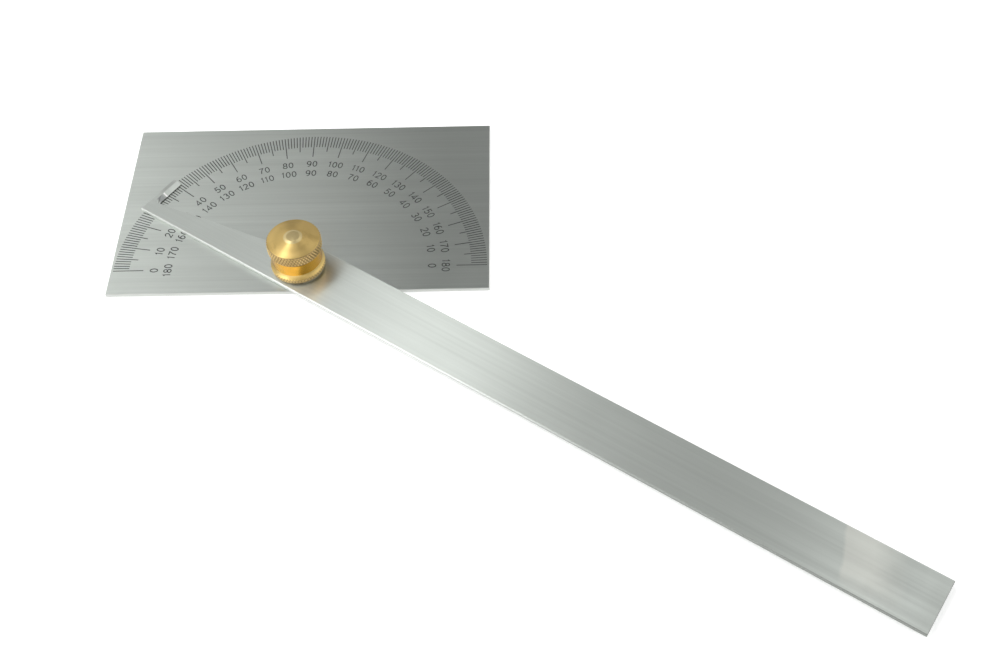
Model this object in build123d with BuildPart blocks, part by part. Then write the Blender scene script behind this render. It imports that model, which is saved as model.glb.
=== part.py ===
from build123d import *
from math import cos, radians, sin, tan
import os

# Bevel protractor: a flat steel head with a half-circle scale, a blade that swings on a
# riveted stud, and a knurled brass nut that clamps the blade at its angle.
# Units are millimetres. The origin is on the pivot's axis, in the plane of the head's
# back. +Z points out of the scale side, +X runs along the head's long edges and +Y
# points from the pivot to the far long edge.

# Head, the plate that carries the scale
head_length = 85.7          # along X, 3 3/8 inch
head_depth = 52.0           # along Y
head_thickness = 1.0
pivot_from_near_edge = 6.8  # the pivot is midway along the length, close to the near edge

# Arm, the blade, along its own axis u from the pivot to the far end, with v across it
arm_reach = 152.4           # pivot to the far end, 6 inch
arm_width = 13.0
arm_thickness = 1.0
arm_angle = -34.25          # about +Z, from +X to the far end, as the photograph shows it

# Arm's tail, a hook whose inner edge is read against the scale
tail_reach = 42.4           # pivot to the tail's end
hook_land = 1.1             # flat strip between the tail's end and the bevel
hook_bevel = 1.0            # width of the bevel, seen from above
reading_edge = 0.25         # height left square under the bevel
bevel_runout = 2.0          # length over which the bevel tapers out at its inner end
hook_shortfall = 1.7        # the hook's tip stops this far inside the arm's full width
notch_floor = 3.5           # metal left under the notch, where it meets the hook
notch_slope = 9.1           # degrees that the notch's floor rises towards the pivot
notch_end = 7.5             # the notch stops this far from the pivot
notch_corner = 1.5          # inner radius between the floor and the shoulder
index_width = 0.22          # line engraved across the bevel, on the arm's centre line
index_depth = 0.10

# Stud
pivot_diameter = 5.0
pivot_shortfall = 0.12      # the pivot stops this far under the arm's top, so the nut clamps
rivet_shank = 3.8
rivet_head = 5.8
rivet_head_depth = 0.6
thread_diameter = 4.0
relief_depth = 0.45         # undercut at the foot of the thread
stud_chamfer = 0.4

# Washer
washer_diameter = 11.4
washer_thickness = 0.44

# Lock nut
nut_diameter = 12.2         # the bar that it is turned from, over the knurl
nut_height = 8.26           # foot to the cap's rim
foot_chamfer = 0.3
flange_edge = 1.6           # foot to the top of the flange's edge
flange_flare = 0.9          # height over which the flange runs into the neck
neck_diameter = 11.1
cap_edge = 2.4              # knurled edge of the cap
rim_chamfer = 0.3
cone_rise = 0.5             # the top slopes up by this much from the rim to the boss
boss_foot = 4.2             # diameter where the boss leaves the cone
boss_diameter = 2.9
boss_height = 0.4
crown = 1.0                 # metal left between the hole's point and the rim's level
drill_point = 59.0          # half angle of the hole's point, in degrees
knurl_count = 36            # grooves of each hand
knurl_depth = 0.26
knurl_lean = 30.0           # degrees between the grooves and the nut's axis

# Clearances
film = 0.02                 # between flat faces that slide on each other
rivet_gap = 0.01            # around the rivet in the head
pivot_gap = 0.05            # radial, arm on its pivot
washer_gap = 0.2            # radial, washer on the thread
thread_gap = 0.06           # radial, nut on the thread
stud_end_gap = 1.0          # from the stud's end to the end of the nut's straight hole
edge_break = 0.12           # sharp edges of both plates, taken off

# Levels along Z, each one worked out from the piece below it
head_top = head_thickness
arm_bottom = head_top + film
arm_top = arm_bottom + arm_thickness
washer_bottom = arm_top + film
washer_top = washer_bottom + washer_thickness
nut_foot = washer_top + film
nut_rim = nut_foot + nut_height
nut_hole_r = thread_diameter / 2 + thread_gap
nut_hole_tip = nut_rim - crown
nut_hole_end = nut_hole_tip - nut_hole_r / tan(radians(drill_point))
stud_top = nut_hole_end - stud_end_gap

os.makedirs("parts", exist_ok=True)

# Head plate: a plain rectangle, countersunk at the back for the stud's rivet
with BuildPart() as head_plate:
    with BuildSketch(Plane.XY):
        with Locations((0, head_depth / 2 - pivot_from_near_edge)):
            Rectangle(head_length, head_depth)
    extrude(amount=head_thickness)
    chamfer(head_plate.faces().sort_by(Axis.Z)[-1].edges(), edge_break)
    chamfer(head_plate.faces().sort_by(Axis.Z)[0].edges(), edge_break)
    with BuildSketch(Plane.XZ):
        with BuildLine():
            Polyline(
                (0, 0),
                (rivet_head / 2 + rivet_gap, 0),
                (rivet_shank / 2 + rivet_gap, rivet_head_depth),
                (rivet_shank / 2 + rivet_gap, head_thickness),
                (0, head_thickness),
                close=True,
            )
        make_face()
    revolve(axis=Axis.Z, mode=Mode.SUBTRACT)
head_plate.part.label = "head_plate"
export_step(head_plate.part, "parts/head_plate.step")

# Pivot stud: rivet head flush with the back, shank, pivot, undercut and thread
pivot_top = arm_top - pivot_shortfall
thread_r = thread_diameter / 2
relief_r = thread_r - relief_depth
thread_start = washer_top - relief_depth
with BuildPart() as pivot_stud:
    with BuildSketch(Plane.XZ):
        with BuildLine():
            Polyline(
                (0, 0),
                (rivet_head / 2, 0),
                (rivet_shank / 2, rivet_head_depth),
                (rivet_shank / 2, head_top),
                (pivot_diameter / 2, head_top),
                (pivot_diameter / 2, pivot_top),
                (relief_r, pivot_top),
                (relief_r, thread_start),
                (thread_r, thread_start + relief_depth),
                (thread_r, stud_top - stud_chamfer),
                (thread_r - stud_chamfer, stud_top),
                (0, stud_top),
                close=True,
            )
        make_face()
    revolve(axis=Axis.Z)
pivot_stud.part.label = "pivot_stud"
export_step(pivot_stud.part, "parts/pivot_stud.step")

# Arm, drawn flat along its own axis, with its underside at zero
lower_edge = -arm_width / 2
bevel_top_u = -(tail_reach - hook_land)
reading_u = bevel_top_u + hook_bevel
hook_tip = arm_width / 2 - hook_shortfall
floor_at_hook = lower_edge + notch_floor
floor_at_end = floor_at_hook + (-notch_end - reading_u) * tan(radians(notch_slope))

# The wedge that is ground off the hook's inner edge, and that tapers out at the corner
with BuildPart() as bevel_cut:
    with BuildSketch(Plane.XZ.offset(-hook_tip - edge_break)):
        with BuildLine():
            Polyline(
                (bevel_top_u, arm_thickness),
                (reading_u, reading_edge),
                (reading_u + hook_bevel, reading_edge),
                (reading_u + hook_bevel, arm_thickness),
                close=True,
            )
        make_face()
    extrude(amount=hook_tip - floor_at_hook + edge_break)
    with BuildSketch(Plane.XY):
        with BuildLine():
            Polyline(
                (bevel_top_u, hook_tip + edge_break),
                (bevel_top_u, floor_at_hook + bevel_runout),
                (reading_u, floor_at_hook),
                (reading_u + hook_bevel, floor_at_hook),
                (reading_u + hook_bevel, hook_tip + edge_break),
                close=True,
            )
        make_face()
    extrude(amount=arm_thickness, mode=Mode.INTERSECT)

bevel_face = Plane(
    origin=(bevel_top_u, 0, arm_thickness),
    x_dir=(hook_bevel, 0, reading_edge - arm_thickness),
    z_dir=(arm_thickness - reading_edge, 0, hook_bevel),
)
bevel_slope = ((arm_thickness - reading_edge) ** 2 + hook_bevel**2) ** 0.5

with BuildPart() as arm_blank:
    with BuildSketch(Plane.XY):
        with BuildLine():
            Polyline(
                (-tail_reach, lower_edge),
                (arm_reach, lower_edge),
                (arm_reach, arm_width / 2),
                (-notch_end, arm_width / 2),
                (-notch_end, floor_at_end),
                (reading_u, floor_at_hook),
                (reading_u, hook_tip),
                (-tail_reach, hook_tip),
                close=True,
            )
        make_face()
    extrude(amount=arm_thickness)
    shoulder_corner = (
        arm_blank.edges()
        .filter_by(Axis.Z)
        .sort_by_distance((-notch_end, floor_at_end, arm_thickness / 2))[0]
    )
    fillet(shoulder_corner, notch_corner)
    chamfer(arm_blank.faces().sort_by(Axis.Z)[-1].edges(), edge_break)
    chamfer(arm_blank.faces().sort_by(Axis.Z)[0].edges(), edge_break)
    with Locations((0, 0, arm_thickness / 2)):
        Hole(pivot_diameter / 2 + pivot_gap, depth=arm_thickness)
    add(bevel_cut.part, mode=Mode.SUBTRACT)
    with BuildSketch(bevel_face):
        with Locations((bevel_slope / 2, 0)):
            Rectangle(bevel_slope + hook_bevel, index_width)
    extrude(amount=-index_depth, mode=Mode.SUBTRACT)

# The arm lies on the head, turned to the angle of the photograph
with BuildPart() as arm:
    with Locations(Location((0, 0, arm_bottom), (0, 0, arm_angle))):
        add(arm_blank.part)
arm.part.label = "arm"
export_step(arm.part, "parts/arm.step")

# Washer between the arm and the nut
with BuildPart() as washer:
    with BuildSketch(Plane.XY.offset(washer_bottom)):
        Circle(washer_diameter / 2)
        Circle(thread_diameter / 2 + washer_gap, mode=Mode.SUBTRACT)
    extrude(amount=washer_thickness)
washer.part.label = "washer"
export_step(washer.part, "parts/washer.step")

# The grooves run out past both ends of the cap's edge, into the bevel under the cap
nut_r = nut_diameter / 2
neck_r = neck_diameter / 2
cap_under_bevel = nut_r - neck_r
knurl_level = nut_rim - cap_edge / 2
knurl_length = cap_edge + 2 * (cap_under_bevel + knurl_depth)

# One V groove of the knurl, as deep as the knurl and leaning to one side of the axis
groove_r = nut_r - knurl_depth
groove_flank = 2 * knurl_depth


def knurl_groove(lean):
    """Prism with its edge along the groove's bottom, halfway up the cap's edge."""
    along = Plane(
        origin=(groove_r, 0, knurl_level),
        x_dir=(1, 0, 0),
        z_dir=(0, sin(radians(lean)), cos(radians(lean))),
    )
    with BuildPart() as groove:
        with BuildSketch(along):
            with BuildLine():
                Polyline(
                    (0, 0),
                    (groove_flank, -groove_flank),
                    (groove_flank, groove_flank),
                    close=True,
                )
            make_face()
        extrude(amount=knurl_length / 2 / cos(radians(lean)), both=True)
    return groove.part


# Lock nut: flange, neck, cap with a shallow cone, and a blind hole from below
flange_top = nut_foot + flange_edge
neck_start = flange_top + flange_flare
neck_end = nut_rim - cap_edge - cap_under_bevel
with BuildPart() as lock_nut:
    with BuildSketch(Plane.XZ):
        with BuildLine():
            Polyline(
                (nut_hole_r, nut_foot),
                (nut_r - foot_chamfer, nut_foot),
                (nut_r, nut_foot + foot_chamfer),
                (nut_r, flange_top),
            )
            TangentArc((neck_r, neck_start), (nut_r, flange_top), tangent=(0, -1))
            Polyline(
                (neck_r, neck_start),
                (neck_r, neck_end),
                (nut_r, nut_rim - cap_edge),
                (nut_r, nut_rim - rim_chamfer),
                (nut_r - rim_chamfer, nut_rim),
                (boss_foot / 2, nut_rim + cone_rise),
                (boss_diameter / 2, nut_rim + cone_rise + boss_height),
                (0, nut_rim + cone_rise + boss_height),
                (0, nut_hole_tip),
                (nut_hole_r, nut_hole_end),
                (nut_hole_r, nut_foot),
            )
        make_face()
    revolve(axis=Axis.Z)
    for lean in (knurl_lean, -knurl_lean):
        with PolarLocations(0, knurl_count):
            add(knurl_groove(lean), mode=Mode.SUBTRACT)
lock_nut.part.label = "lock_nut"
export_step(lock_nut.part, "parts/lock_nut.step")
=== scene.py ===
# %% [markdown]
# A bevel protractor is a sheet of brushed stainless steel with a half circle of degrees etched
# into it, a long blade that swings over that sheet, and a brass nut that locks the blade.
# The construction comes in as a finished frame: every solid is already at its real size and place.
# This lesson gives the frame its looks: brushed steel, an etched scale, a turned and knurled nut
# and a plain studio. Everything is in metres, with +Z out of the scale side.

# %% Load the frame
from math import acos, atan2, cos, degrees, floor, pi, radians, sin, tan

import bmesh
import bpy
from mathutils import Matrix, Vector


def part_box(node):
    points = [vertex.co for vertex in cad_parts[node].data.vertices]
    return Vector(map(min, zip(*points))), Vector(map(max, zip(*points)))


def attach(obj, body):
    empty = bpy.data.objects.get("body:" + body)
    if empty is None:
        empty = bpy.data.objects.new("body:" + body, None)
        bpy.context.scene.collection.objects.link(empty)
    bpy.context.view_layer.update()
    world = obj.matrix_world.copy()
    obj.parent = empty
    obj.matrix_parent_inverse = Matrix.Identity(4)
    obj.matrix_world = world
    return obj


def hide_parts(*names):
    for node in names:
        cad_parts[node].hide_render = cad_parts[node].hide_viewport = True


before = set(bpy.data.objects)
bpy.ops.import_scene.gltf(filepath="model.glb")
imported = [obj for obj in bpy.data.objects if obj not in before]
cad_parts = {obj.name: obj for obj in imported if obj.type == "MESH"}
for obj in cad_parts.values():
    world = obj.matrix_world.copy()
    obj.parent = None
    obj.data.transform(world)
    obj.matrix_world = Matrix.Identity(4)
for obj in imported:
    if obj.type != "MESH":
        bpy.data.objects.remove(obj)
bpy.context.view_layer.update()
MM = 0.001

# %% [markdown]
# Sizes are read from the frame wherever it has them, so that a changed frame changes the looks
# too. Each piece's box gives the level of its top, and the nut's box gives its radius as well.
# The blade lies at an angle that its box doesn't show, but its far end does: of the points that
# are nearly as far out as the furthest one, the two outermost are its corners, and the blade's
# axis lies halfway between them.

# %% Measure the pieces that the looks are built on
nut_low, nut_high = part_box("lock_nut")
head_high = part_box("head_plate")[1]
stud_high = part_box("pivot_stud")[1]
washer_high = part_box("washer")[1]
arm_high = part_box("arm")[1]
arm_points = [v.co.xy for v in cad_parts["arm"].data.vertices]
arm_reach = max(p.length for p in arm_points)
far_share = 0.99


def blade_angle(points, reach):
    """The angle about +Z, from +X, at which the blade's far end lies."""
    far = [p for p in points if p.length > far_share * reach]
    left = max(far, key=lambda p: atan2(p.y, p.x))
    right = min(far, key=lambda p: atan2(p.y, p.x))
    middle = (left + right) / 2
    return atan2(middle.y, middle.x)


arm_angle = blade_angle(arm_points, arm_reach)
print("the blade lies at", round(degrees(arm_angle), 2), "degrees")
print("it reaches", round(arm_reach / MM, 1), "mm, and the nut's radius is", round(nut_high.x / MM, 2))

# %% [markdown]
# Every material below is built from nodes. A few short helpers keep the cells readable: they add
# a node and fill its sockets, do sums, start a material, and blend two numbers or two colours.
# Joining nodes by hand would work as well, but the same three lines would return fifty times.

# %% Helpers for shader nodes


def add_node(tree, kind, inputs=None, **settings):
    """A new node in a tree, with its settings made and its sockets filled or linked."""
    made = tree.nodes.new(kind)
    for name, value in settings.items():
        setattr(made, name, value)
    for name, value in (inputs or {}).items():
        if isinstance(value, bpy.types.NodeSocket):
            tree.links.new(value, made.inputs[name])
        else:
            made.inputs[name].default_value = value
    return made


def maths(tree, operation, *values, clamp=False):
    """The result of a Math node whose sockets take these numbers or links in order."""
    made = add_node(
        tree, "ShaderNodeMath", dict(enumerate(values)), operation=operation, use_clamp=clamp
    )
    return made.outputs[0]


def rise_between(tree, value, start, end):
    """A mask that goes from zero to one while a value goes from start to end."""
    made = add_node(tree, "ShaderNodeMapRange", {"Value": value, "From Min": start, "From Max": end})
    return made.outputs["Result"]


def blend_values(tree, factor, low, high):
    """A number that runs from low to high as the factor runs from 0 to 1."""
    made = add_node(tree, "ShaderNodeMapRange", {"Value": factor, "To Min": low, "To Max": high})
    return made.outputs["Result"]


def blend_colours(tree, factor, low, high):
    """A colour that runs from low to high as the factor runs from 0 to 1."""
    made = tree.nodes.new("ShaderNodeMix")
    made.data_type = "RGBA"
    tree.links.new(factor, made.inputs["Factor"])
    for socket, colour in ((made.inputs["A"], low), (made.inputs["B"], high)):
        if isinstance(colour, bpy.types.NodeSocket):
            tree.links.new(colour, socket)
        else:
            socket.default_value = (*colour, 1.0)
    return made.outputs["Result"]


def start_material(name):
    """A material with an empty Principled shader in it, as (material, its tree, the shader)."""
    material = bpy.data.materials.new(name)
    material.use_nodes = True
    tree = material.node_tree
    print("material", name)
    return material, tree, tree.nodes["Principled BSDF"]


# %% [markdown]
# Brushed steel is drawn under an abrasive belt, which leaves scratches that all run one way. Up
# close they are hair lines a tenth of a millimetre wide, and from a distance they gather into
# faint lighter and darker bands. Both layers are noise that is stretched along the brushing.
# The head, the blade and the washer all need this, so it is a node group, fed with a position
# whose X axis runs along the brushing.

# %% Node group: brushed streaks


def new_group(name, inputs, outputs):
    """An empty shader node group with named sockets, as (group, its input node, its output node)."""
    group = bpy.data.node_groups.new(name, "ShaderNodeTree")
    for socket, kind, value in inputs:
        made = group.interface.new_socket(socket, in_out="INPUT", socket_type="NodeSocket" + kind)
        if value is not None:
            made.default_value = value
    for socket, kind in outputs:
        group.interface.new_socket(socket, in_out="OUTPUT", socket_type="NodeSocket" + kind)
    print("group", name, "gives", [socket for socket, kind in outputs])
    return group, group.nodes.new("NodeGroupInput"), group.nodes.new("NodeGroupOutput")


def stretched_noise(tree, position, length, width, detail):
    """Noise whose grains are so long along X and so wide across it, in metres."""
    scaled = add_node(
        tree,
        "ShaderNodeVectorMath",
        {0: position, 1: (1 / length, 1 / width, 1 / width)},
        operation="MULTIPLY",
    )
    noise = add_node(
        tree,
        "ShaderNodeTexNoise",
        {"Vector": scaled.outputs[0], "Scale": 1.0, "Detail": detail, "Roughness": 0.6},
    )
    return noise.outputs["Fac"]


def make_brushed_streaks():
    group, given, result = new_group(
        "brushed streaks",
        [("Position", "Vector", None), ("Contrast", "Float", 1.0)],
        [("Hair Lines", "Float"), ("Bands", "Float")],
    )
    position = given.outputs["Position"]
    hair = stretched_noise(group, position, length=22 * MM, width=0.11 * MM, detail=2.0)
    bands = stretched_noise(group, position, length=70 * MM, width=0.6 * MM, detail=4.0)
    wide = stretched_noise(group, position, length=160 * MM, width=3.0 * MM, detail=2.0)
    centred = maths(group, "SUBTRACT", maths(group, "ADD", bands, wide), 1.0)
    spread = maths(group, "MULTIPLY_ADD", centred, given.outputs["Contrast"], 0.5, clamp=True)
    group.links.new(hair, result.inputs["Hair Lines"])
    group.links.new(spread, result.inputs["Bands"])
    return group


brushed_streaks = make_brushed_streaks()

# %% [markdown]
# A tool that is picked up every day carries cloudy marks where fingers and a rag have been. They
# change the shine far more than the colour. The group gives one soft mask: large clouds, cut
# short by a threshold so that most of the surface stays clean.

# %% Node group: handling marks

cloud_softness = 0.22


def make_handling_marks():
    group, given, result = new_group(
        "handling marks",
        [("Position", "Vector", None), ("Cloud Size", "Float", 0.02), ("Threshold", "Float", 0.5)],
        [("Marks", "Float")],
    )
    clouds = add_node(
        group,
        "ShaderNodeTexNoise",
        {
            "Vector": given.outputs["Position"],
            "Scale": maths(group, "DIVIDE", 1.0, given.outputs["Cloud Size"]),
            "Detail": 5.0,
            "Roughness": 0.62,
            "Distortion": 0.6,
        },
    )
    over = maths(group, "SUBTRACT", clouds.outputs["Fac"], given.outputs["Threshold"])
    cut = add_node(
        group,
        "ShaderNodeMapRange",
        {"Value": over, "From Max": cloud_softness},
        interpolation_type="SMOOTHSTEP",
    )
    group.links.new(cut.outputs["Result"], result.inputs["Marks"])
    return group


handling_marks = make_handling_marks()

# %% [markdown]
# A lathe tool leaves a fine spiral that reads as rings around the axis. The nut and the stud are
# both turned, so they share this group. Distance from the axis and height along it are added up
# into one number, and noise along that number alone gives rings of uneven depth.

# %% Node group: turned rings

broad_ring_share = 0.17


def make_turned_rings():
    group, given, result = new_group(
        "turned rings",
        [("Position", "Vector", None), ("Ring Width", "Float", 0.0002)],
        [("Rings", "Float"), ("Broad Rings", "Float")],
    )
    parts = add_node(group, "ShaderNodeSeparateXYZ", {0: given.outputs["Position"]})
    flat = add_node(group, "ShaderNodeCombineXYZ", {"X": parts.outputs["X"], "Y": parts.outputs["Y"]})
    radius = add_node(group, "ShaderNodeVectorMath", {0: flat.outputs[0]}, operation="LENGTH")
    along = maths(group, "ADD", radius.outputs["Value"], parts.outputs["Z"])
    fine = maths(group, "DIVIDE", along, given.outputs["Ring Width"])
    broad = maths(group, "MULTIPLY", fine, broad_ring_share)
    for count, target in ((fine, "Rings"), (broad, "Broad Rings")):
        noise = add_node(
            group,
            "ShaderNodeTexNoise",
            {"W": count, "Scale": 1.0, "Detail": 1.0},
            noise_dimensions="1D",
        )
        group.links.new(noise.outputs["Fac"], result.inputs[target])
    return group


turned_rings = make_turned_rings()

# %% [markdown]
# Along the brushing, steel is nearly a mirror, and across it the scratches spread a reflection
# into a long smear. The Principled shader has this as anisotropy: its Tangent is the direction
# of the wide smear, so here it points across the brushing. The direction is fixed in the piece
# and turned into the world, so that it goes round with the blade when the blade swings.
# It leans up a little, because a tangent that is in line with an edge's normal has no meaning.

# %% Direction of the brushing


def place_group(tree, group, inputs):
    """A node group put into a tree, with its sockets filled or linked."""
    return add_node(tree, "ShaderNodeGroup", inputs, node_tree=group)


def brushed_position(tree, angle):
    """The piece's own coordinates, turned so that X runs along the brushing at this angle."""
    coordinates = add_node(tree, "ShaderNodeTexCoord")
    turned = add_node(
        tree,
        "ShaderNodeVectorRotate",
        {"Vector": coordinates.outputs["Object"], "Angle": -angle},
        rotation_type="Z_AXIS",
    )
    return turned.outputs["Vector"]


def smear_across(tree, shader, angle):
    """Points the shader's tangent across a brushing at this angle, in the piece's own frame."""
    lean_up = 0.05
    across = add_node(
        tree,
        "ShaderNodeVectorTransform",
        {"Vector": (-sin(angle), cos(angle), lean_up)},
        vector_type="VECTOR",
        convert_from="OBJECT",
        convert_to="WORLD",
    )
    tree.links.new(across.outputs[0], shader.inputs["Tangent"])


# %% [markdown]
# One recipe serves every flat piece: the bands shift the colour and the roughness a little, the
# hair lines are a very low bump, and handling marks dull the shine. The sides and broken edges
# have their own colour, which is a painted highlight where it is paler than the flats. The upright
# part of the normal finds them: it is 0.8 on the hook's bevel, which still counts as a flat, and
# 0.7 on a broken edge.

# %% Brushed steel for flat pieces

flat_upright = 0.78
edge_upright = 0.72
band_roughness = 0.03
mark_roughness = 0.05
hair_depth = 0.006 * MM


def edge_mask(tree):
    """One on the piece's sides and broken edges, and zero on its flats and the hook's bevel."""
    coordinates = add_node(tree, "ShaderNodeTexCoord")
    parts = add_node(tree, "ShaderNodeSeparateXYZ", {0: coordinates.outputs["Normal"]})
    return rise_between(tree, maths(tree, "ABSOLUTE", parts.outputs["Z"]), flat_upright, edge_upright)


def brushed_steel(name, angle, light, dark, edge, roughness):
    """Brushed stainless steel, as (material, tree, shader, position, its tone)."""
    material, tree, shader = start_material(name)
    position = brushed_position(tree, angle)
    streaks = place_group(tree, brushed_streaks, {"Position": position, "Contrast": 1.4})
    marks = place_group(
        tree, handling_marks, {"Position": position, "Cloud Size": 26 * MM, "Threshold": 0.5}
    )
    bands = streaks.outputs["Bands"]
    # the sides and broken edges take the edge colour, a painted highlight on the head and the blade
    tone = blend_colours(tree, edge_mask(tree), blend_colours(tree, bands, dark, light), edge)
    rough = blend_values(tree, bands, roughness + band_roughness, roughness - band_roughness)
    bump = add_node(
        tree,
        "ShaderNodeBump",
        {"Height": streaks.outputs["Hair Lines"], "Strength": 0.25, "Distance": hair_depth},
    )
    marked = maths(tree, "MULTIPLY_ADD", marks.outputs["Marks"], mark_roughness, rough)
    tree.links.new(tone, shader.inputs["Base Color"])
    tree.links.new(marked, shader.inputs["Roughness"])
    tree.links.new(bump.outputs[0], shader.inputs["Normal"])
    shader.inputs["Metallic"].default_value = 1.0
    shader.inputs["Anisotropic"].default_value = 0.9
    smear_across(tree, shader, angle)
    return material, tree, shader, position, tone


def dress(node, material):
    """Gives a node of the frame its finish, through its object's own material slots."""
    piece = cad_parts[node]
    if not piece.material_slots:
        piece.data.materials.append(None)
    for slot in piece.material_slots:
        slot.link = "OBJECT"
        slot.material = material
    print(node, "is dressed in", material.name)


# %% [markdown]
# The head is brushed along its long edges. Its steel is a cool grey with a trace of green, and
# its sheared and broken edges are painted brighter than its flats, as a painted highlight.

# %% Head plate

steel_light = (0.57, 0.605, 0.57)
steel_dark = (0.49, 0.52, 0.49)
steel_edge_highlight = (0.68, 0.70, 0.67)
steel_roughness = 0.38
head_steel = brushed_steel(
    "head_brushed_steel", 0.0, steel_light, steel_dark, steel_edge_highlight, steel_roughness
)[0]
dress("head_plate", head_steel)

# %% [markdown]
# The blade has marks in certain places, and each is a box in the blade's own coordinates: X runs
# from the pivot to the far end and Y across. A mask that rises at one side of the box and falls
# at the other gives it soft ends, and two of those multiplied give the box. Painting an image
# would do the same, but a mask made of numbers stays sharp at any size.

# %% Masks for marks on the blade


def between(tree, value, low, high, soft_low, soft_high):
    """A mask that is one between two values of a coordinate, with ends as soft as given."""
    rise = rise_between(tree, value, low, low + soft_low)
    fall = rise_between(tree, value, high, high - soft_high)
    return maths(tree, "MULTIPLY", rise, fall)


def box_mask(tree, along, across, share):
    """The product of two such masks, times the share that it may reach."""
    return maths(tree, "MULTIPLY", maths(tree, "MULTIPLY", along, across), share)


# %% [markdown]
# Near the blade's far end is one patch that is paler than the rest, where a label or a hand has
# been for years. It is sharp on the side towards the nut, where it leans, and ragged on the
# others. Noise that is added to the coordinates before the mask makes it ragged.

# %% Pale patch near the blade's end

patch_white = (0.72, 0.72, 0.66)
patch_share = 0.5
patch_start = arm_reach - 19.5 * MM
patch_end = arm_reach - 6 * MM
patch_low = -5 * MM
patch_high = 14 * MM
patch_lean = 0.33
patch_soft_along = (0.8 * MM, 7 * MM)
patch_soft_across = (4 * MM, 1 * MM)
rag_size = 3 * MM
rag_along = 1.5 * MM
rag_across = 3 * MM


def label_patch(tree, position, parts):
    """The mask of the pale patch."""
    rag = add_node(
        tree, "ShaderNodeTexNoise", {"Vector": position, "Scale": 1 / rag_size, "Detail": 4.0}
    ).outputs["Fac"]
    leaning = maths(tree, "MULTIPLY_ADD", parts.outputs["Y"], patch_lean, parts.outputs["X"])
    ragged_x = maths(tree, "MULTIPLY_ADD", rag, rag_along, leaning)
    ragged_y = maths(tree, "MULTIPLY_ADD", rag, rag_across, parts.outputs["Y"])
    along = between(tree, ragged_x, patch_start, patch_end, *patch_soft_along)
    across = between(tree, ragged_y, patch_low, patch_high, *patch_soft_across)
    return box_mask(tree, along, across, patch_share)


print("the patch runs from", round(patch_start / MM, 1), "to", round(patch_end / MM, 1), "mm")

# %% [markdown]
# On the hook, a band of the flat beside the bevel is a little darker, the bevel has painted shade on
# one side of the index line, and a painted contact shadow lies under the reading edge. The blade is
# brushed along its own length, and painted shade darkens its side walls with the distance from the nut.

# %% Blade

reading_edge = -40.3 * MM
bevel_run = 1.0 * MM
bevel_top = reading_edge - bevel_run
wall_bright_until = 35 * MM
wall_shade_from = 90 * MM
painted_wall_shade = (0.31, 0.325, 0.305)
# where each mark lies along the blade and across it, and how soft it is both ways
# a band of the flat beside the bevel, a little darker
darker_flat_band = ((bevel_top - 1.3 * MM, bevel_top), (-1.0 * MM, 5.5 * MM), (0.3 * MM, 2.0 * MM))
# painted shade on the bevel, on one side of the index line
painted_bevel_shade = ((bevel_top, reading_edge), (-2.6 * MM, -0.1 * MM), (0.05 * MM, 0.6 * MM))
# a painted contact shadow along the foot of the reading edge
painted_contact_shadow = (
    (reading_edge - 0.04 * MM, reading_edge + 0.1 * MM),
    (-3.2 * MM, 5.2 * MM),
    (0.02 * MM, 0.1 * MM),
)
hook_marks = [
    # place, share and colour of each
    (darker_flat_band, 0.45, (0.28, 0.29, 0.28)),
    (painted_bevel_shade, 0.75, (0.26, 0.27, 0.27)),
    (painted_contact_shadow, 0.9, (0.05, 0.055, 0.045)),
]


def make_arm_steel():
    material, tree, shader, position, tone = brushed_steel(
        "arm_brushed_steel", arm_angle, steel_light, steel_dark, steel_edge_highlight, steel_roughness
    )
    parts = add_node(tree, "ShaderNodeSeparateXYZ", {0: position})
    colour = blend_colours(tree, label_patch(tree, position, parts), tone, patch_white)
    for ((back, front), (low, high), (soft_along, soft_across)), share, mark in hook_marks:
        along = between(tree, parts.outputs["X"], back, front, soft_along, soft_along)
        across = between(tree, parts.outputs["Y"], low, high, soft_across, soft_across)
        colour = blend_colours(tree, box_mask(tree, along, across, share), colour, mark)
    # painted shade: the side walls grow darker with the distance from the nut
    fading = rise_between(tree, parts.outputs["X"], wall_bright_until, wall_shade_from)
    far_wall_shade = maths(tree, "MULTIPLY", fading, edge_mask(tree))
    tree.links.new(blend_colours(tree, far_wall_shade, colour, painted_wall_shade), shader.inputs["Base Color"])
    return material


dress("arm", make_arm_steel())

# %% [markdown]
# The washer is stamped from sheet, and a belt has run across it in one direction. Only its rim
# shows, as a dark line under the nut. It takes the recipe of the flat pieces with a warmer,
# browner tone.

# %% Washer

washer_grain = radians(20)
washer_steel = brushed_steel(
    "washer_plain_steel", washer_grain, (0.52, 0.47, 0.36), (0.46, 0.41, 0.31), (0.52, 0.45, 0.32), 0.40
)[0]
dress("washer", washer_steel)

# %% [markdown]
# Turned metal is brushed in circles. The shader's tangent has to run out from the axis, and a
# Tangent node set to Radial gives the direction round it, so Anisotropic Rotation adds a quarter
# turn. Rings from the shared group move the colour, the roughness and the normal.

# %% Turned metal for round pieces

ring_roughness = 0.05
tarnish = 0.95
quarter_turn = 0.25


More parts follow.
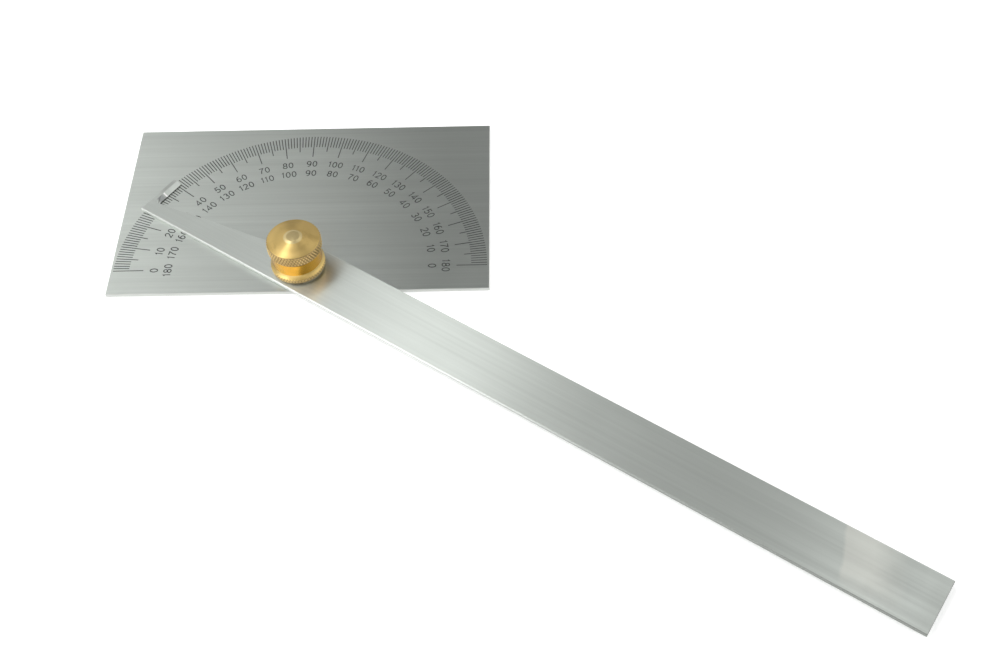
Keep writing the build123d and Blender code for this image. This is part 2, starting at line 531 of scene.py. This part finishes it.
def turned_metal(name, light, dark, roughness, smear, ring_width, ring_depth):
    """Metal finished on a lathe, as (material, tree, shader, its tone)."""
    material, tree, shader = start_material(name)
    position = add_node(tree, "ShaderNodeTexCoord").outputs["Object"]
    rings = place_group(tree, turned_rings, {"Position": position, "Ring Width": ring_width})
    marks = place_group(
        tree, handling_marks, {"Position": position, "Cloud Size": 4 * MM, "Threshold": 0.48}
    )
    broad = rings.outputs["Broad Rings"]
    tarnished = blend_colours(
        tree,
        marks.outputs["Marks"],
        blend_colours(tree, broad, dark, light),
        tuple(tarnish * c for c in dark),
    )
    rough = blend_values(tree, broad, roughness + ring_roughness, roughness - ring_roughness)
    bump = add_node(
        tree,
        "ShaderNodeBump",
        {"Height": rings.outputs["Rings"], "Strength": 0.35, "Distance": ring_depth},
    )
    tangent = add_node(tree, "ShaderNodeTangent", direction_type="RADIAL", axis="Z")
    tree.links.new(tangent.outputs[0], shader.inputs["Tangent"])
    tree.links.new(tarnished, shader.inputs["Base Color"])
    tree.links.new(rough, shader.inputs["Roughness"])
    tree.links.new(bump.outputs[0], shader.inputs["Normal"])
    shader.inputs["Metallic"].default_value = 1.0
    shader.inputs["Anisotropic"].default_value = smear
    shader.inputs["Anisotropic Rotation"].default_value = quarter_turn
    return material, tree, shader, tarnished


# %% [markdown]
# The nut and the stud come off a lathe, so each is one outline turned round the axis. An outline
# is a list of (radius, height) rows. Its corners get a small round, because a lathe tool and a
# rag leave no sharp one, and long stretches get more rows wherever the surface needs them.

# %% Outlines

# the most of a side that a corner's round may take
side_share = 0.4


def soften(outline, size):
    """Replaces each corner of an outline by three points of a small round."""
    made = [outline[0]]
    for before, corner, after in zip(outline, outline[1:], outline[2:]):
        a, b, c = Vector(before), Vector(corner), Vector(after)
        reach = min(size, side_share * (b - a).length, side_share * (c - b).length)
        first = b + (a - b).normalized() * reach
        last = b + (c - b).normalized() * reach
        made += [tuple(first), tuple((first + 2 * b + last) / 4), tuple(last)]
    return made + [outline[-1]]


def rows_between(outline, spacing):
    """Points along an outline, its corners kept and never further apart than the spacing."""
    made = [outline[0]]
    for a, b in zip(outline, outline[1:]):
        a, b = Vector(a), Vector(b)
        parts = max(1, round((b - a).length / spacing))
        made += [tuple(a.lerp(b, k / parts)) for k in range(1, parts + 1)]
    return made


# %% [markdown]
# Blender's Screw modifier would turn an outline, but a knurl and a thread change the radius on
# the way round. So the rings are made in code: each row becomes a ring of points, and a function
# gives the radius at every angle. Rows that carry a knurl need many points round the axis and
# the smooth ones few, so a row says how many it has, and a seam of triangles joins the two kinds.

# %% Turning an outline

tiny = 1e-9


def ring(mesh, radius, height, steps, surface):
    """One ring of points, or a single point on the axis."""
    if radius < tiny:
        return [mesh.verts.new((0, 0, height))]
    made = []
    for k in range(steps):
        angle = 2 * pi * k / steps
        r = surface(radius, height, angle)
        made.append(mesh.verts.new((r * cos(angle), r * sin(angle), height)))
    return made


def join_rings(mesh, low, high, finish):
    """Faces between two rings, where one may have a whole number of times the other's points."""
    if len(low) < len(high):
        low, high = high, low
    ratio = len(low) // len(high)
    made = []
    for k in range(len(low)):
        a, b = low[k], low[(k + 1) % len(low)]
        c, d = high[(k // ratio) % len(high)], high[(k // ratio + 1) % len(high)]
        if len(high) == 1:
            made.append(mesh.faces.new((a, b, c)))
        elif ratio == 1:
            made.append(mesh.faces.new((a, b, d, c)))
        else:
            half = k % ratio >= ratio / 2
            made.append(mesh.faces.new((a, b, d if half else c)))
            if k % ratio == ratio // 2 - 1:
                made.append(mesh.faces.new((b, d, c)))
    for face in made:
        face.material_index = finish


def turn_outline(name, stretches, surface):
    """A closed mesh turned from stretches of rows, each one (rows, points round, finish)."""
    mesh = bmesh.new()
    last = None
    for rows, steps, finish in stretches:
        for radius, height in rows:
            made = ring(mesh, radius, height, steps, surface)
            if last:
                join_rings(mesh, last, made, finish)
            last = made
    bmesh.ops.recalc_face_normals(mesh, faces=mesh.faces)
    for face in mesh.faces:
        face.smooth = True
    print(name, "is closed:", all(edge.is_manifold for edge in mesh.edges))
    return mesh


# %% [markdown]
# Each finished mesh becomes an object that rides on the body it belongs to, so that it moves with
# that body's joint. Edges sharper than the shading can hide are marked sharp.

# %% From a mesh to a piece

sharp_angle = radians(32)


def mesh_piece(name, mesh, materials, body):
    """Turns a bmesh into an object that rides on a body and takes its finish from a slot."""
    data = bpy.data.meshes.new(name)
    mesh.to_mesh(data)
    mesh.free()
    data.set_sharp_from_angle(angle=sharp_angle)
    piece = bpy.data.objects.new(name, data)
    for material in materials:
        piece.data.materials.append(material)
    bpy.context.scene.collection.objects.link(piece)
    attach(piece, body)
    print(name, "has", len(data.polygons), "faces")
    return piece


# %% [markdown]
# The nut's surface has four finishes. The cone on its cap and the flare above its foot are turned
# and left satin, its neck is polished and coloured a deeper orange as a painted reflection of the
# brass around it, its knurl is pressed in by a wheel and is darker towards its grooves' bottoms,
# and the boss is paler and rougher where the bar was parted off. Four materials from the same
# recipe keep them one metal.

# %% Brass finishes

cap_brass = turned_metal(
    "nut_turned_brass", (0.80, 0.58, 0.22), (0.66, 0.465, 0.165), 0.33, 0.85, 0.35 * MM, 0.0012 * MM
)[0]
# the neck's deep orange is a painted reflection of the brass facing it, on top of its polish
neck_brass_reflected = turned_metal(
    "nut_polished_brass_painted_reflection", (0.78, 0.43, 0.065), (0.68, 0.35, 0.04), 0.24, 0.75, 0.5 * MM, 0.0003 * MM
)[0]
boss_brass = turned_metal(
    "nut_parted_brass", (0.72, 0.58, 0.29), (0.64, 0.51, 0.25), 0.36, 0.2, 0.35 * MM, 0.0012 * MM
)[0]
nut_r = nut_high.x
knurl_depth = 0.26 * MM
darkened_depth = 0.8 * knurl_depth
groove_bottom_colour = (0.40, 0.28, 0.12)


def make_knurl_brass():
    material, tree, shader, tone = turned_metal(
        "nut_knurled_brass", (0.82, 0.62, 0.29), (0.70, 0.51, 0.23), 0.36, 0.8, 0.2 * MM, 0.001 * MM
    )
    position = add_node(tree, "ShaderNodeTexCoord").outputs["Object"]
    flat = add_node(tree, "ShaderNodeVectorMath", {0: position, 1: (1, 1, 0)}, operation="MULTIPLY")
    radius = add_node(tree, "ShaderNodeVectorMath", {0: flat.outputs[0]}, operation="LENGTH")
    # the knurl is darker towards the bottoms of its grooves
    towards_crest = rise_between(tree, radius.outputs["Value"], nut_r - darkened_depth, nut_r)
    tree.links.new(blend_colours(tree, towards_crest, groove_bottom_colour, tone), shader.inputs["Base Color"])
    return material


knurl_brass = make_knurl_brass()

# %% [markdown]
# A diamond knurl is two sets of V grooves that lean opposite ways. At a point, each set's groove
# depth follows from the distance to its nearest groove, and the deeper of the two counts. The
# cap's edge has the full depth. The foot's edge was skimmed after knurling, so only the bottoms
# of the grooves are left there. The radius is the smaller of outline and knurl, so that the
# grooves run out on the bevels by themselves.

# %% Knurl

knurl_pairs = 54
knurl_skimmed = 0.10 * MM
knurl_lean = radians(30)
steps_per_groove = 12
knurl_steps = steps_per_groove * knurl_pairs
knurl_pitch = 2 * pi * nut_r / knurl_pairs


def knurl_cut(height, angle):
    """Depth of a full knurl at a place on the nut's edge."""
    deepest = 0.0
    for hand in (1, -1):
        turns = (angle * nut_r + hand * height * tan(knurl_lean)) / knurl_pitch
        distance = abs(turns - round(turns)) * knurl_pitch * cos(knurl_lean)
        deepest = max(deepest, knurl_depth - distance)
    return deepest


print("the knurl's grooves are", round(knurl_pitch / MM, 3), "mm apart")

# %% [markdown]
# The nut's outline is written from the blind hole's end, down its wall, round the foot, up the
# neck and over the cap to the axis. Its ends come from the frame's nut, and the steps between
# them are the real one's: a square foot that flares into the neck, a deep cap, a shallow cone
# with turning marks, and a little boss that was left where the bar was parted off.

# %% Sizes of the lock nut

foot = nut_low.z
summit = nut_high.z
foot_chamfer = 0.3 * MM
flange_top = foot + 1.15 * MM
flare_top = foot + 2.5 * MM
neck_r = 5.55 * MM
boss_height = 0.25 * MM
cone_rise = 0.65 * MM
rim = summit - boss_height - cone_rise
rim_chamfer = 0.3 * MM
cap_bottom = rim - 2.4 * MM
neck_top = cap_bottom - (nut_r - neck_r)
boss_foot_r = 2.1 * MM
boss_r = 1.5 * MM
hole_r = 2.06 * MM
hole_tip = rim - 1.0 * MM
drill_half_angle = radians(59)
hole_end = hole_tip - hole_r / tan(drill_half_angle)
turning_pitch = 0.42 * MM
turning_height = 0.0012 * MM
print("the nut is", round((summit - foot) / MM, 2), "mm high")
print("its cap is", round((rim - cap_bottom) / MM, 2), "mm deep at the edge")

# %% [markdown]
# Two stretches of the outline are curves. The flare is an arc that meets the neck without a
# corner. The cone is straight, but a coarse turning tool has left shallow waves on it, which
# catch the light as rings, so they are real height in the mesh.

# %% Curves of the lock nut

flare_steps = 6
cone_steps = 44


def flare_points():
    """The arc from the top of the foot's edge into the neck."""
    run, rise = nut_r - neck_r, flare_top - flange_top
    bend = (run**2 + rise**2) / (2 * run)
    end = acos((bend - run) / bend)
    turns = [end * (1 - k / flare_steps) for k in range(flare_steps + 1)]
    return [(neck_r + bend * (1 - cos(t)), flare_top - bend * sin(t)) for t in turns]


def cone_rows():
    """Rows up the cap's cone, whose waves end flat at both ends."""
    slope = cone_rise / (nut_r - rim_chamfer - boss_foot_r)
    made = []
    for k in range(cone_steps + 1):
        r = (nut_r - rim_chamfer) + (boss_foot_r - nut_r + rim_chamfer) * k / cone_steps
        wave = turning_height * sin(2 * pi * r / turning_pitch) * min(1, k, cone_steps - k)
        made.append((r, rim + slope * (nut_r - rim_chamfer - r) + wave))
    return made


def nut_surface(radius, height, angle):
    """The nut's radius at a place: its outline, or the knurl where that cuts deeper."""
    if radius < neck_r or height > rim:
        return radius
    skimmed = knurl_skimmed if height < flare_top else 0.0
    return min(radius, nut_r - max(0.0, knurl_cut(height, angle) - skimmed))


# %% [markdown]
# The nut is put together from stretches of rows, and each says how many points it has round the
# axis and which finish it takes. It stands in for the frame's plainer nut, whose place it takes.

# %% Lock nut

foot_round = 0.06 * MM
cap_round = 0.07 * MM
boss_round = 0.12 * MM
near_axis = 0.0001 * MM
neck_spacing = 0.3 * MM
satin_steps = 5
bore_rows = [(0, hole_tip), (hole_r, hole_end), (hole_r, foot)]
foot_rows = soften(
    [(hole_r, foot), (nut_r - foot_chamfer, foot), (nut_r, foot + foot_chamfer), (nut_r, flange_top)],
    foot_round,
)[1:]
flare_rows = flare_points()[1:]
satin_flare_rows = flare_rows[:satin_steps]
polished_flare_rows = flare_rows[satin_steps:]
neck_rows = rows_between([(neck_r, flare_top), (neck_r, neck_top)], neck_spacing)[1:]
cap_rows = soften(
    [
        (neck_r, neck_top),
        (nut_r, cap_bottom),
        (nut_r, rim - rim_chamfer),
        (nut_r - rim_chamfer, rim),
        (boss_foot_r, rim + cone_rise),
    ],
    cap_round,
)[1:-1]
boss_rows = soften(
    [(boss_foot_r, rim + cone_rise), (boss_r, summit), (near_axis, summit), (0, summit)], boss_round
)[1:]
plain_steps = knurl_steps // 6
knurl_spacing = 2 * pi * nut_r / knurl_steps / tan(knurl_lean)
nut_finishes = [cap_brass, neck_brass_reflected, knurl_brass, boss_brass]
satin, polished, knurled, parted = range(4)
nut_mesh = turn_outline(
    "lock_nut_turned",
    [
        (bore_rows, plain_steps, satin),
        (rows_between(foot_rows, knurl_spacing), knurl_steps, knurled),
        (rows_between(satin_flare_rows, knurl_spacing), knurl_steps, satin),
        (polished_flare_rows, knurl_steps, polished),
        (neck_rows, plain_steps, polished),
        (rows_between(cap_rows, knurl_spacing), knurl_steps, knurled),
        (cone_rows(), plain_steps, satin),
        (boss_rows, plain_steps, parted),
    ],
    nut_surface,
)
lock_nut = mesh_piece("lock_nut_turned", nut_mesh, nut_finishes, "nut")
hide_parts("lock_nut")

# %% [markdown]
# The stud is hidden while the nut is down, and shows its thread when the nut is run up. Its
# outline comes from the frame's boxes, and its thread is cut the way the knurl is: one groove
# that climbs by a pitch with every turn, with flat crests and a flat root.

# %% Thread of the stud

thread_r = 2.0 * MM
thread_pitch = 0.7 * MM
thread_depth = 0.42 * MM
thread_steps = 96
relief_r = 1.55 * MM
relief_sunk = 0.45 * MM
relief_top = washer_high.z - relief_sunk
flank_steepness = 1.35
crest_width = 0.15


def stud_surface(radius, height, angle):
    """The stud's radius at a place: its outline, or the thread's groove where that cuts deeper."""
    if height < relief_top + tiny or radius < relief_r:
        return radius
    turns = height / thread_pitch - angle / (2 * pi)
    from_root = 2 * abs(turns - floor(turns) - 0.5)
    groove = min(1.0, max(0.0, flank_steepness * (1 - from_root) - crest_width))
    return min(radius, thread_r - thread_depth * groove)


print("the stud's thread starts", round(relief_top / MM, 2), "mm up")

# %% [markdown]
# From the back up, the stud has a countersunk head that is riveted flush, a shank in the plate, a
# pivot that the blade turns on, a relief where the thread runs out, and the thread. It is turned
# steel, a little brighter than the sheet's.

# %% Threaded stud

rivet_r = stud_high.x
rivet_depth = 0.6 * MM
shank_r = 1.9 * MM
pivot_r = 2.5 * MM
pivot_sunk = 0.12 * MM
pivot_top = arm_high.z - pivot_sunk
stud_chamfer = 0.4 * MM
stud_round = 0.04 * MM
rows_per_pitch = 12
stud_low_rows = [
    (0, 0),
    (rivet_r, 0),
    (shank_r, rivet_depth),
    (shank_r, head_high.z),
    (pivot_r, head_high.z),
    (pivot_r, pivot_top),
    (relief_r, pivot_top),
    (relief_r, relief_top),
]
stud_high_rows = [
    (relief_r, relief_top),
    (thread_r, relief_top + thread_r - relief_r),
    (thread_r, stud_high.z - stud_chamfer),
    (thread_r - stud_chamfer, stud_high.z),
]
stud_mesh = turn_outline(
    "pivot_stud_threaded",
    [
        (soften(stud_low_rows, stud_round), thread_steps, 0),
        (rows_between(stud_high_rows, thread_pitch / rows_per_pitch)[1:], thread_steps, 0),
        ([(0, stud_high.z)], thread_steps, 0),
    ],
    stud_surface,
)
stud_steel = turned_metal(
    "stud_turned_steel", (0.60, 0.61, 0.60), (0.48, 0.49, 0.48), 0.28, 0.8, 0.12 * MM, 0.004 * MM
)[0]
stud = mesh_piece("pivot_stud_threaded", stud_mesh, [stud_steel], "head")
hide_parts("pivot_stud")

# %% [markdown]
# The scale is etched and filled with black. Here it is real geometry: each line is a thin bar
# and each number a thin plate, sunk in the steel with their tops six thousandths of a
# millimetre proud, so the blade still swings over them without touching.
# One bar is a box along a radius. All 181 go into one mesh, because they are one print.

# %% Lines of the scale

scale_outer = 42.3 * MM
degree_inner = 38.7 * MM
five_inner = 37.2 * MM
ten_inner = 35.4 * MM
line_width = 0.23 * MM
print_proud = 0.006 * MM
print_sunk = 0.004 * MM
head_top = head_high.z


def add_bar(mesh, angle, inner, outer, width):
    """Adds a bar along a radius, flat on the head, between two distances from the pivot."""
    made = bmesh.ops.create_cube(mesh, size=1.0)["verts"]
    size = Matrix.Diagonal((outer - inner, width, print_proud + print_sunk, 1))
    middle = Matrix.Translation(((inner + outer) / 2, 0, head_top + (print_proud - print_sunk) / 2))
    bmesh.ops.transform(mesh, matrix=Matrix.Rotation(angle, 4, "Z") @ middle @ size, verts=made)


def make_scale_ink():
    """Black etch filler, a little worn and grey where the brush has passed over it."""
    material, tree, shader = start_material("scale_black_fill")
    position = brushed_position(tree, 0.0)
    streaks = place_group(tree, brushed_streaks, {"Position": position, "Contrast": 2.2})
    colour = blend_colours(tree, streaks.outputs["Bands"], (0.024, 0.026, 0.025), (0.07, 0.075, 0.07))
    rough = blend_values(tree, streaks.outputs["Hair Lines"], 0.5, 0.75)
    tree.links.new(colour, shader.inputs["Base Color"])
    tree.links.new(rough, shader.inputs["Roughness"])
    return material


scale_ink = make_scale_ink()
lines = bmesh.new()
for degree in range(181):
    if degree % 10 == 0:
        inner = ten_inner
    elif degree % 5 == 0:
        inner = five_inner
    else:
        inner = degree_inner
    add_bar(lines, radians(degree), inner, scale_outer, line_width)
mesh_piece("scale_lines", lines, [scale_ink], "head")

# %% [markdown]
# The angle is read at one line on the hook's bevel. It is a groove filled with white, and the
# filling has spread a little over its sides. So it is one bar, wider than the groove, sunk in
# the slope of the bevel, and it swings with the blade.

# %% Index line

bevel_drop = 0.75 * MM
index_width = 0.42 * MM
index_depth = 0.09 * MM
index_proud = 0.004 * MM
index_share = 0.97


def make_index_white():
    """White filler that has greyed a little in its pores."""
    material, tree, shader = start_material("index_white_fill")
    position = add_node(tree, "ShaderNodeTexCoord").outputs["Object"]
    marks = place_group(
        tree, handling_marks, {"Position": position, "Cloud Size": 0.4 * MM, "Threshold": 0.45}
    )
    colour = blend_colours(tree, marks.outputs["Marks"], (0.95, 0.95, 0.94), (0.86, 0.86, 0.84))
    tree.links.new(colour, shader.inputs["Base Color"])
    shader.inputs["Roughness"].default_value = 0.6
    return material


slope = atan2(bevel_drop, bevel_run)
outward = Vector((sin(slope), 0, cos(slope)))
bevel_middle = Vector((reading_edge - bevel_run / 2, 0, arm_high.z - bevel_drop / 2))
index_mesh = bmesh.new()
bmesh.ops.create_cube(
    index_mesh,
    size=1.0,
    matrix=Matrix.Rotation(arm_angle, 4, "Z")
    @ Matrix.Translation(bevel_middle + outward * (index_proud - index_depth / 2))
    @ Matrix.Rotation(slope, 4, "Y")
    @ Matrix.Diagonal((index_share * bevel_run / cos(slope), index_width, index_depth, 1)),
)
mesh_piece("index_line", index_mesh, [make_index_white()], "arm")

# %% [markdown]
# An engraving machine draws each digit with one cutter, so every stroke has the same width. A
# font would have to be traced and thinned to look like that. So the digits are drawn here the
# way the machine draws them: as paths in a box one unit high, made of lines and parts of
# ellipses, which then get the cutter's width.

# %% Paths of the digits

arc_step = 20


def arc(x, y, across, up, start, end):
    """Points on part of an ellipse about (x, y), between two angles in degrees."""
    steps = max(3, round(abs(end - start) / arc_step))
    turns = [radians(start + (end - start) * k / steps) for k in range(steps + 1)]
    return [(x + across * cos(t), y + up * sin(t)) for t in turns]


digit_paths = {
    "0": [arc(0.30, 0.50, 0.24, 0.44, 0, 360)],
    "1": [[(0.04, 0.74), (0.20, 0.94), (0.20, 0.06)]],
    "2": [arc(0.29, 0.68, 0.23, 0.26, 170, -35) + [(0.05, 0.06), (0.55, 0.06)]],
    "3": [arc(0.28, 0.73, 0.21, 0.21, 150, -90), arc(0.28, 0.29, 0.25, 0.23, 90, -155)],
    "4": [[(0.42, 0.06), (0.42, 0.94), (0.03, 0.30), (0.58, 0.30)]],
    "5": [[(0.52, 0.94), (0.14, 0.94), (0.08, 0.50)] + arc(0.28, 0.34, 0.25, 0.28, 125, -150)],
    "6": [arc(0.30, 0.33, 0.24, 0.27, 0, 360), arc(0.36, 0.40, 0.30, 0.54, 175, 75)],
    "7": [[(0.04, 0.94), (0.54, 0.94), (0.30, 0.50), (0.20, 0.06)]],
    "8": [arc(0.30, 0.72, 0.20, 0.22, 0, 360), arc(0.30, 0.28, 0.24, 0.22, 0, 360)],
    "9": [arc(0.30, 0.67, 0.24, 0.27, 0, 360), arc(0.24, 0.60, 0.30, 0.54, -5, -105)],
}
digit_advance = {"1": 0.50}
plain_advance = 0.74


def number_paths(value):
    """The paths of a whole number, centred on its middle, as lists of vectors."""
    paths = []
    start = 0.0
    for digit in str(value):
        for path in digit_paths[digit]:
            paths.append([Vector((start + x, y)) for x, y in path])
        start += digit_advance.get(digit, plain_advance)
    xs = [p.x for path in paths for p in path]
    ys = [p.y for path in paths for p in path]
    middle = Vector(((min(xs) + max(xs)) / 2, (min(ys) + max(ys)) / 2))
    return [[p - middle for p in path] for path in paths]


print(sum(len(paths) for paths in digit_paths.values()), "strokes make", len(digit_paths), "digits")

# %% [markdown]
# Each path becomes a flat strip of the cutter's width, with its corners mitred. A curve object
# with a bevel would do this too. Made in code, the strip gets exactly the width and the levels
# of a thin print, and a closed digit runs back into its own start with no face inside.

# %% Strips along the paths

mitre_limit = 0.5


def is_closed(path):
    """Whether a path ends where it starts."""
    return (path[0] - path[-1]).length < tiny


def strip_sides(path, width):
    """For each point of a path, its two neighbours half a width to the left and right."""
    closed = is_closed(path)
    made = []
    for k, here in enumerate(path):
        before = path[k - 1] if k else (path[-2] if closed else here)
        after = path[k + 1] if k + 1 < len(path) else (path[1] if closed else here)
        first = (here - before).normalized() if before != here else (after - here).normalized()
        second = (after - here).normalized() if after != here else first
        along = (first + second).normalized()
        reach = width / 2 / max(mitre_limit, along.dot(first))
        side = Vector((-along.y, along.x)) * reach
        made.append((here + side, here - side))
    return made


def add_strip(mesh, path, width, low, high):
    """Adds a thin plate of constant width along a path, between two levels.

    An open path gets an end face at both ends, and a closed one runs back into its start.
    """
    sides = strip_sides(path, width)
    if is_closed(path):
        sides.pop()
    corners = []
    for left, right in sides:
        section = [(left, low), (right, low), (right, high), (left, high)]
        corners.append([mesh.verts.new((p.x, p.y, z)) for p, z in section])
    if is_closed(path):
        corners.append(corners[0])
    else:
        mesh.faces.new(corners[0])
        mesh.faces.new(reversed(corners[-1]))
    for a, b in zip(corners, corners[1:]):
        for k in range(4):
            mesh.faces.new((a[k], a[(k + 1) % 4], b[(k + 1) % 4], b[k]))


# %% [markdown]
# The numbers stand in two rings, every ten degrees: the outer ring counts from left to right
# and the inner one from right to left, both with their tops turned outwards.

# %% Numbers of the scale

number_height = 1.9 * MM
number_stroke = 0.25 * MM
outer_ring = 33.0 * MM
inner_ring = 29.9 * MM


def add_number(mesh, value, angle, radius):
    """Adds a number to the print, with its top away from the pivot."""
    turn = Matrix.Rotation(angle - pi / 2, 2)
    middle = Vector((radius * cos(angle), radius * sin(angle)))
    for path in number_paths(value):
        placed = [middle + turn @ (p * number_height) for p in path]
        add_strip(mesh, placed, number_stroke, head_top - print_sunk, head_top + print_proud)


numbers = bmesh.new()
for value in range(0, 181, 10):
    add_number(numbers, value, radians(180 - value), outer_ring)
    add_number(numbers, 180 - value, radians(180 - value), inner_ring)
bmesh.ops.recalc_face_normals(numbers, faces=numbers.faces)
mesh_piece("scale_numbers", numbers, [scale_ink], "head")

# %% [markdown]
# The tool lies on a white sheet. The sheet is a wide disc whose rim is turned up into a low wall,
# so that a low view still ends in white and never over an edge. A plane would have to be far
# larger for that, and it would end in a grey line at the horizon.

# %% White sheet

floor_radius = 6.0
backdrop_height = 1.5
floor_gap = 0.02 * MM
floor_mesh = bmesh.new()
bmesh.ops.create_circle(floor_mesh, cap_ends=True, segments=96, radius=floor_radius)
raised = bmesh.ops.extrude_edge_only(floor_mesh, edges=floor_mesh.edges[:])
for vertex in raised["geom"]:
    if isinstance(vertex, bmesh.types.BMVert):
        vertex.co.z = backdrop_height
floor_data = bpy.data.meshes.new("floor")
floor_mesh.to_mesh(floor_data)
floor_mesh.free()
floor_piece = bpy.data.objects.new("floor", floor_data)
floor_piece.location.z = -floor_gap
bpy.context.scene.collection.objects.link(floor_piece)
print("the sheet has", len(floor_data.polygons), "faces")

# %% [markdown]
# Paper that is lit as softly as the tool comes out pale grey. In a photograph it is white, and
# more lamps would bleach the steel. So the sheet adds a little light of its own, but only for rays
# that look at it, from the camera or by way of metal or glass. The light that reaches the tool
# stays as it was, and the tool's shadow stays on the sheet.

# %% White of the sheet

sheet_lift = 0.36


def make_white_sheet():
    material, tree, shader = start_material("white_sheet")
    shader.inputs["Base Color"].default_value = (0.96, 0.96, 0.96, 1.0)
    shader.inputs["Roughness"].default_value = 0.9
    shader.inputs["Specular IOR Level"].default_value = 0.1
    shader.inputs["Emission Color"].default_value = (1.0, 1.0, 1.0, 1.0)
    rays = add_node(tree, "ShaderNodeLightPath")
    camera_ray, glossy, transmission = (
        rays.outputs[f"Is {kind} Ray"] for kind in ("Camera", "Glossy", "Transmission")
    )
    looking = maths(tree, "MAXIMUM", maths(tree, "MAXIMUM", camera_ray, glossy), transmission)
    lift = maths(tree, "MULTIPLY", looking, sheet_lift)
    tree.links.new(lift, shader.inputs["Emission Strength"])
    return material


floor_data.materials.append(make_white_sheet())

# %% [markdown]
# Polished metal has no look of its own, so what stands around it matters. The ceiling gives the
# steel its grey: from left to right it is bright, nearly dark in a narrow gap, middling above the
# tool and brightest far to the right, and each flat mirrors another part of it. The walls are
# paler in front than behind. Boards around the tool could do this too, but here the world's light
# follows the direction of the ray, which needs no objects and leaves no edges in view.

# %% Walls and ceiling

left_light = 0.95
gap_light = 0.02
right_light = 0.64
far_right_light = 1.5
front_left_light = 1.0
front_right_light = 0.36
front_wall_light = 0.89
back_wall_light = 0.50
# where each part passes into the next, as parts of a direction of length one
left_to_gap = (-0.28, -0.248)
gap_to_right = (-0.14, 0.127)
right_to_far_right = (0.45, 0.65)
front_left_to_right = (-0.45, -0.10)
front_wall_to_back = (-0.4, 0.2)
front_to_room = (-0.75, -0.15)
wall_to_roof = (0.2, 0.5)


def ramp(tree, value, edges, lights):
    """A light level that passes smoothly from one value to another between two edges."""
    made = add_node(
        tree,
        "ShaderNodeMapRange",
        {
            "Value": value,
            "From Min": edges[0],
            "From Max": edges[1],
            "To Min": lights[0],
            "To Max": lights[1],
        },
        interpolation_type="SMOOTHSTEP",
    )
    return made.outputs["Result"]


def make_room():
    world = bpy.data.worlds.new("studio_room")
    bpy.context.scene.world = world
    world.use_nodes = True
    tree = world.node_tree
    background = tree.nodes["Background"]
    direction = add_node(tree, "ShaderNodeTexCoord")
    parts = add_node(tree, "ShaderNodeSeparateXYZ", {0: direction.outputs["Generated"]})
    x, y, z = (parts.outputs[axis] for axis in "XYZ")
    roof = ramp(tree, x, left_to_gap, (left_light, gap_light))
    for edges, rise in (
        (gap_to_right, right_light - gap_light),
        (right_to_far_right, far_right_light - right_light),
    ):
        roof = maths(tree, "ADD", roof, ramp(tree, x, edges, (0.0, rise)))
    wall = ramp(tree, y, front_wall_to_back, (front_wall_light, back_wall_light))
    room = blend_values(tree, ramp(tree, z, wall_to_roof, (0.0, 1.0)), wall, roof)
    front = ramp(tree, x, front_left_to_right, (front_left_light, front_right_light))
    level = blend_values(tree, ramp(tree, y, front_to_room, (0.0, 1.0)), front, room)
    tree.links.new(level, background.inputs["Strength"])
    background.inputs["Color"].default_value = (1.0, 1.0, 1.0, 1.0)
    print("world", world.name, "has", len(tree.nodes), "nodes")


make_room()

# %% [markdown]
# Four soft lamps stand around the pivot, each named for its place. The long one up on the left is
# mirrored by the brushed steel as the pale sweep. The two further to the left stand where the
# flats don't mirror them to the camera, and light the sheet and the side of the nut. A lamp is
# given by its direction from the pivot and by the direction that its height follows.

# %% Lamps

lamp_distance = 0.9


def soft_lamp(name, direction, along, width, height, radiance):
    """A rectangular lamp that faces the pivot, with its height near a given direction."""
    lamp = bpy.data.lights.new(name, "AREA")
    lamp.shape = "RECTANGLE"
    lamp.size = width
    lamp.size_y = height
    lamp.energy = radiance * pi * width * height
    holder = bpy.data.objects.new(name, lamp)
    back = Vector(direction).normalized()
    side = Vector(along).cross(back).normalized()
    up = back.cross(side)
    facing = Matrix((side, up, back)).transposed().to_4x4()
    holder.matrix_world = Matrix.Translation(back * lamp_distance) @ facing
    bpy.context.scene.collection.objects.link(holder)
    print(name, "has", round(lamp.energy, 2), "watts")


soft_lamp("lamp_left", (-0.369, 0.132, 0.920), (0.620, 0.784, 0.0), 0.132, 0.833, 4.2)
soft_lamp("lamp_right", (0.451, 0.441, 0.776), (0.8145, -0.580, 0.0), 0.519, 0.081, 2.1)
soft_lamp("lamp_far_left", (-0.70, 0.06, 0.70), (0.147, -0.26, 0.167), 0.15, 0.31, 5.0)
soft_lamp("lamp_low_left", (-0.74, -0.57, 0.32), (0.29, -0.50, -0.22), 0.25, 0.56, 4.0)

# %% [markdown]
# The camera stands where the photographer stood, found from the corners of the head and the
# lines of the scale: thirty centimetres from the pivot, looking down at about fifty degrees.

# %% Camera

camera_data = bpy.data.cameras.new("photograph")
camera_data.sensor_width = 36.0
camera_data.lens = 47.373
camera_data.clip_start = 0.01
camera_data.clip_end = 100.0
camera = bpy.data.objects.new("photograph", camera_data)
heading, tilt, roll = radians(1.616), radians(37.813), radians(-2.234)
place = Matrix.Translation((0.050043, -0.193762, 0.225063))
turn = Matrix.Rotation(heading, 4, "Z") @ Matrix.Rotation(tilt, 4, "X") @ Matrix.Rotation(roll, 4, "Z")
camera.matrix_world = place @ turn
bpy.context.scene.collection.objects.link(camera)
bpy.context.scene.camera = camera
bpy.context.scene.view_settings.view_transform = "Standard"
print("the camera is", round(place.translation.length / MM), "mm from the pivot")
